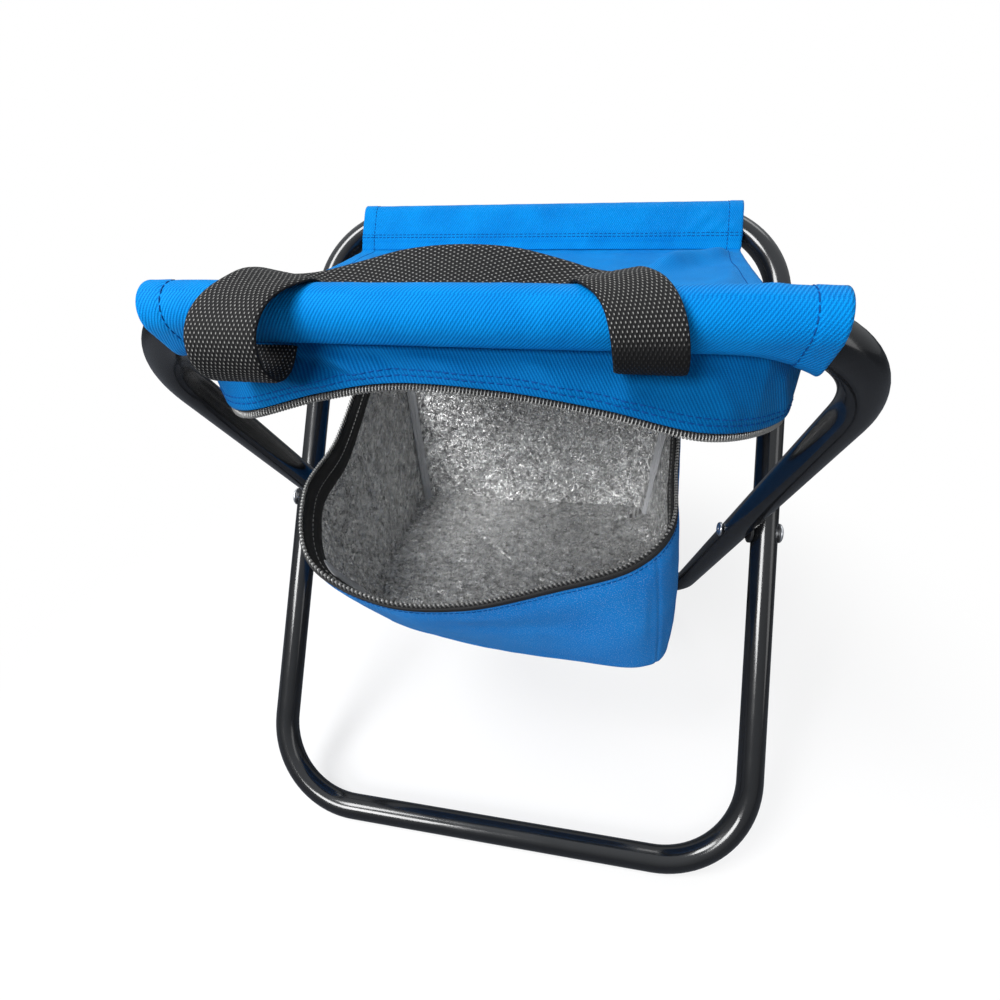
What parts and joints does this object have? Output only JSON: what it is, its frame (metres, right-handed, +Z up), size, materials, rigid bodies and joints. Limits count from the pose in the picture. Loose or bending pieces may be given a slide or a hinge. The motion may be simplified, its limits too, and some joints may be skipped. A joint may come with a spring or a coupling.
{
  "type": "folding cooler stool",
  "caption": "Folding stool: two crossing steel tube loops carry a fabric seat with an insulated zip bag hung under it and a webbing carry handle.",
  "frame": {"origin": "on the floor, midway between the foremost and rearmost points, on the plane midway between the legs", "axes": "+Z up, -Y towards the front where the bag opens, +X to the right as seen from the front"},
  "size_m": [0.3394, 0.2816, 0.3677],
  "materials": {
    "black_paint": "gloss black powder coat",
    "zinc_steel": "zinc plated",
    "black_plastic": "moulded, satin",
    "blue_fabric": "woven polyester with a soft sheen",
    "black_webbing": "ribbed polypropylene webbing",
    "zip_coil": "nylon coil",
    "silver_foil": "crinkled metallised film",
    "white_foam": "closed-cell foam sheet",
    "grey_tape": "woven binding tape"
  },
  "bodies": {
    "outer_frame": {"outer_frame": "black_paint", "outer_rail_insert": "zinc_steel", "pivot_rivet_left": "zinc_steel", "pivot_rivet_right": "zinc_steel", "pivot_spacer_left": "black_plastic", "pivot_spacer_right": "black_plastic", "rear_sleeve": "blue_fabric", "seat_panel": "blue_fabric", "lid_foam": "white_foam", "lid_lining": "silver_foil", "left_skirt": "blue_fabric", "front_skirt": "blue_fabric", "right_skirt": "blue_fabric", "zip_tape_upper": "black_webbing", "zip_chain_upper": "zip_coil", "bag_left": "blue_fabric", "bag_front": "blue_fabric", "bag_right": "blue_fabric", "bag_rear": "blue_fabric", "bag_bottom": "blue_fabric", "foam_left": "white_foam", "foam_front": "white_foam", "foam_right": "white_foam", "foam_rear": "white_foam", "foam_bottom": "white_foam", "lining_left": "silver_foil", "lining_front": "silver_foil", "lining_right": "silver_foil", "lining_rear": "silver_foil", "lining_bottom": "silver_foil", "corner_tape_rear_left": "grey_tape", "corner_tape_front_left": "grey_tape", "corner_tape_front_right": "grey_tape", "corner_tape_rear_right": "grey_tape", "zip_tape_lower": "black_webbing", "zip_chain_lower": "zip_coil", "zip_end_tab_left": "black_webbing", "zip_end_tab_right": "black_webbing"},
    "inner_frame": {"inner_frame": "black_paint", "inner_rail_insert": "zinc_steel", "front_sleeve": "blue_fabric", "handle_loop_left": "black_webbing", "handle_loop_right": "black_webbing"},
    "carry_handle": {"handle_grip": "black_webbing"},
    "zip_slider": {"zip_slider": "black_plastic", "zip_slider_bail": "black_plastic"},
    "zip_pull": {"zip_pull": "black_plastic"}
  },
  "joints": [
    {"name": "fold", "type": "hinge", "parent": "outer_frame", "child": "inner_frame", "pos_m": [0, 0.0033, 0.18016], "axis": [-1, 0, 0], "range_deg": [0, 66], "deforming": ["seat_panel", "lid_foam", "lid_lining", "left_skirt", "front_skirt", "right_skirt", "zip_tape_upper", "zip_chain_upper", "zip_tape_lower", "zip_chain_lower", "bag_left", "bag_front", "bag_right", "bag_rear", "bag_bottom", "foam_left", "foam_front", "foam_right", "foam_rear", "foam_bottom", "lining_left", "lining_front", "lining_right", "lining_rear", "lining_bottom", "corner_tape_rear_left", "corner_tape_front_left", "corner_tape_front_right", "corner_tape_rear_right"]},
    {"name": "handle_lift", "type": "hinge", "parent": "inner_frame", "child": "carry_handle", "pos_m": [0, -0.1237, 0.3604], "axis": [1, 0, 0], "range_deg": [0, 100], "deforming": ["handle_grip"]},
    {"name": "zip_travel", "type": "slide", "parent": "outer_frame", "child": "zip_slider", "axis": [0, -1, 0], "range_m": [0, 0.13]},
    {"name": "zip_pull_swing", "type": "hinge", "parent": "zip_slider", "child": "zip_pull", "pos_m": [0.11875, 0.0833, 0.3064], "axis": [0, 0, 1], "range_deg": [0, 170]}
  ]
}
